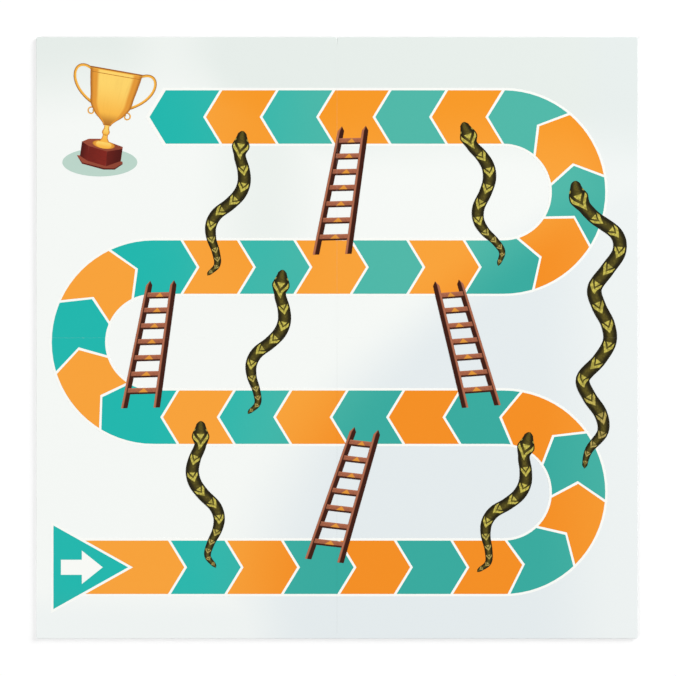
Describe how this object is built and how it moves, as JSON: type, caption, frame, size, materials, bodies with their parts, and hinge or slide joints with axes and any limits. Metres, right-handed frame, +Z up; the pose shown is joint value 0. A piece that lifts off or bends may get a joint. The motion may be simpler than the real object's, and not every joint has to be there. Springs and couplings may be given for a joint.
{
  "type": "folding board game board",
  "caption": "Square game board with a winding track of arrow spaces, snakes and ladders; it folds into quarters on cloth hinges beside a slit.",
  "frame": {"origin": "under the middle of the open board, on the table", "axes": "+X to the board's right edge, +Y to its top edge with the slit, +Z up out of the printed face"},
  "size_m": [0.5, 0.5, 0.0026],
  "materials": {
    "greyboard": "matte",
    "face_sheet": "satin",
    "lining": "matte",
    "hinge_cloth": "matte",
    "white_ink": "satin",
    "teal_ink": "satin",
    "orange_ink": "satin",
    "brown_ink": "satin",
    "olive_ink": "satin",
    "gold_ink": "satin",
    "maroon_ink": "satin",
    "pale_ink": "satin"
  },
  "bodies": {
    "top_left": {"top_left_core": "greyboard", "top_left_face": "face_sheet", "top_left_lining": "lining", "top_left_keyline": "white_ink", "top_left_teal": "teal_ink", "top_left_orange": "orange_ink", "top_left_ladders": "brown_ink", "top_left_snakes": "olive_ink", "left_fold_cloth_upper": "hinge_cloth", "cup_oval": "pale_ink", "cup_base": "maroon_ink", "cup_bowl": "gold_ink"},
    "top_right": {"top_right_core": "greyboard", "top_right_face": "face_sheet", "top_right_lining": "lining", "top_right_keyline": "white_ink", "top_right_teal": "teal_ink", "top_right_orange": "orange_ink", "top_right_ladders": "brown_ink", "top_right_snakes": "olive_ink", "right_fold_cloth_upper": "hinge_cloth"},
    "bottom_left": {"bottom_left_core": "greyboard", "bottom_left_face": "face_sheet", "bottom_left_lining": "lining", "bottom_left_keyline": "white_ink", "bottom_left_teal": "teal_ink", "bottom_left_orange": "orange_ink", "bottom_left_ladders": "brown_ink", "bottom_left_snakes": "olive_ink", "left_fold_cloth_lower": "hinge_cloth", "centre_fold_cloth_left": "hinge_cloth", "start_arrow": "white_ink"},
    "bottom_right": {"bottom_right_core": "greyboard", "bottom_right_face": "face_sheet", "bottom_right_lining": "lining", "bottom_right_keyline": "white_ink", "bottom_right_teal": "teal_ink", "bottom_right_orange": "orange_ink", "bottom_right_ladders": "brown_ink", "bottom_right_snakes": "olive_ink", "right_fold_cloth_lower": "hinge_cloth", "centre_fold_cloth_right": "hinge_cloth"}
  },
  "joints": [
    {"name": "left_fold", "type": "hinge", "parent": "bottom_left", "child": "top_left", "pos_m": [-0.125, 0, 0.00265], "axis": [1, 0, 0], "range_deg": [0, 180]},
    {"name": "centre_fold", "type": "hinge", "parent": "bottom_left", "child": "bottom_right", "pos_m": [0, -0.125, -0.0001], "axis": [0, 1, 0], "range_deg": [0, 180]},
    {"name": "right_fold", "type": "hinge", "parent": "bottom_right", "child": "top_right", "pos_m": [0.125, 0, 0.00265], "axis": [1, 0, 0], "range_deg": [0, 180]}
  ]
}
